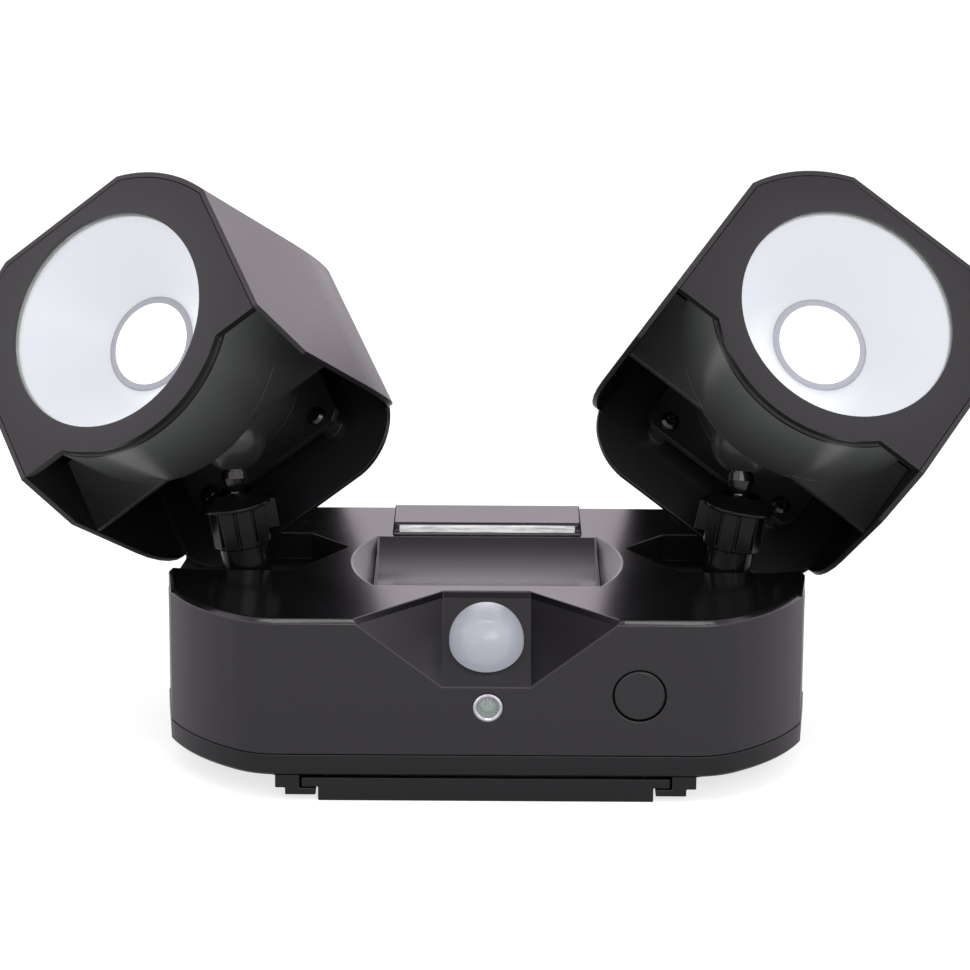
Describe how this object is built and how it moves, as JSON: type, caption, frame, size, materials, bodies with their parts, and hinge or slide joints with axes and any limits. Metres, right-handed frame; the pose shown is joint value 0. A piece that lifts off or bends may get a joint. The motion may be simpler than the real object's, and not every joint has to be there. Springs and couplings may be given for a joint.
{
  "type": "motion sensor security light",
  "caption": "Battery security light with two swivelling hooded LED heads, a motion sensor dome, a light bar and a slide-on mounting bracket.",
  "frame": {"origin": "centre of the bracket face that goes against the wall or ceiling", "axes": "+Z out of the mounting surface, away from it; -Y towards the sensor side; +X to the right when the sensor side is faced"},
  "size_m": [0.3059, 0.1274, 0.1759],
  "materials": {
    "black_gloss": "glossy moulded plastic",
    "black_satin": "satin moulded plastic",
    "board_green": "solder mask",
    "board_white": "white mask on aluminium",
    "cell_wrap": "printed sleeve",
    "contact_metal": "nickel plated",
    "dome_milky": "milky translucent",
    "eye_cell": "light sensitive disc",
    "eye_glass": "clear",
    "eye_ring": "plated ring",
    "led_holder": "grey plastic",
    "led_white": "phosphor, lit",
    "lens_clear": "clear",
    "reflector": "vacuum metallised",
    "screw_black": "black oxide",
    "screw_steel": "plated steel",
    "seal_rubber": "soft black rubber",
    "seal_white": "soft white silicone",
    "sensor_can": "plain metal can",
    "strip_clear": "frosted clear",
    "switch_body": "moulded"
  },
  "bodies": {
    "base": {"arm_nut_left": "switch_body", "arm_nut_right": "switch_body", "arm_post_left": "black_satin", "arm_post_right": "black_satin", "back_cover": "black_satin", "base_housing": "black_gloss", "battery_1": "cell_wrap", "battery_2": "cell_wrap", "battery_3": "cell_wrap", "battery_4": "cell_wrap", "battery_tray": "black_satin", "contact_left": "contact_metal", "contact_right": "contact_metal", "cover_screw_1": "screw_steel", "cover_screw_2": "screw_steel", "cover_screw_3": "screw_steel", "cover_screw_4": "screw_steel", "cover_seal": "seal_rubber", "main_board": "board_green", "photocell": "eye_cell", "photocell_ring": "eye_ring", "photocell_window": "eye_glass", "pir_dome": "dome_milky", "pir_sensor": "sensor_can", "sensor_board": "board_green", "strip_board": "board_white", "strip_led_bar": "led_white", "strip_lens": "strip_clear", "tact_switch": "switch_body"},
    "button": {"mode_button": "black_satin"},
    "bracket": {"mounting_bracket": "black_satin"},
    "collar_left": {"locking_collar_left": "black_satin"},
    "seat_left": {"seat_cup_left": "black_satin"},
    "stem_left": {"ball_stem_left": "black_gloss"},
    "head_left": {"head_screw_1_left": "screw_black", "head_screw_2_left": "screw_black", "hood_left": "black_gloss", "lamp_body_left": "black_gloss", "led_board_left": "board_white", "led_chip_left": "led_white", "led_ring_left": "led_holder", "lens_left": "lens_clear", "lens_seal_left": "seal_white", "reflector_left": "reflector"},
    "collar_right": {"locking_collar_right": "black_satin"},
    "seat_right": {"seat_cup_right": "black_satin"},
    "stem_right": {"ball_stem_right": "black_gloss"},
    "head_right": {"head_screw_1_right": "screw_black", "head_screw_2_right": "screw_black", "hood_right": "black_gloss", "lamp_body_right": "black_gloss", "led_board_right": "board_white", "led_chip_right": "led_white", "led_ring_right": "led_holder", "lens_right": "lens_clear", "lens_seal_right": "seal_white", "reflector_right": "reflector"}
  },
  "joints": [
    {"name": "button_press", "type": "slide", "parent": "base", "child": "button", "axis": [0, 1, 0], "range_m": [0, 0.001], "stiffness_N_per_m": 900, "springref_m": -0.001},
    {"name": "bracket_slide", "type": "slide", "parent": "base", "child": "bracket", "axis": [0, 1, 0], "range_m": [0, 0.1]},
    {"name": "collar_turn_left", "type": "hinge", "parent": "base", "child": "collar_left", "pos_m": [-0.0759, -0.0021, 0.07305], "axis": [-0.1564, 0, 0.9877], "range_deg": [0, 60]},
    {"name": "arm_pan_left", "type": "hinge", "parent": "base", "child": "seat_left", "pos_m": [-0.0759, -0.0021, 0.07305], "axis": [-0.1564, 0, 0.9877], "range_deg": [-3, 12]},
    {"name": "arm_tilt_left", "type": "hinge", "parent": "seat_left", "child": "stem_left", "pos_m": [-0.0759, -0.0021, 0.07305], "axis": [0.9102, -0.3882, 0.1442], "range_deg": [0, 25]},
    {"name": "head_twist_left", "type": "hinge", "parent": "stem_left", "child": "head_left", "pos_m": [-0.0759, -0.0021, 0.07305], "axis": [-0.0547, 0.2325, 0.9711], "range_deg": [-2, 10]},
    {"name": "collar_turn_right", "type": "hinge", "parent": "base", "child": "collar_right", "pos_m": [0.0759, -0.0021, 0.07305], "axis": [0.1564, 0, 0.9877], "range_deg": [-60, 0]},
    {"name": "arm_pan_right", "type": "hinge", "parent": "base", "child": "seat_right", "pos_m": [0.0759, -0.0021, 0.07305], "axis": [0.1564, 0, 0.9877], "range_deg": [-5, 3]},
    {"name": "arm_tilt_right", "type": "hinge", "parent": "seat_right", "child": "stem_right", "pos_m": [0.0759, -0.0021, 0.07305], "axis": [0.9708, 0.1839, -0.1538], "range_deg": [0, 25]},
    {"name": "head_twist_right", "type": "hinge", "parent": "stem_right", "child": "head_right", "pos_m": [0.0759, -0.0021, 0.07305], "axis": [0.0854, 0.334, 0.9387], "range_deg": [-10, 0]}
  ]
}
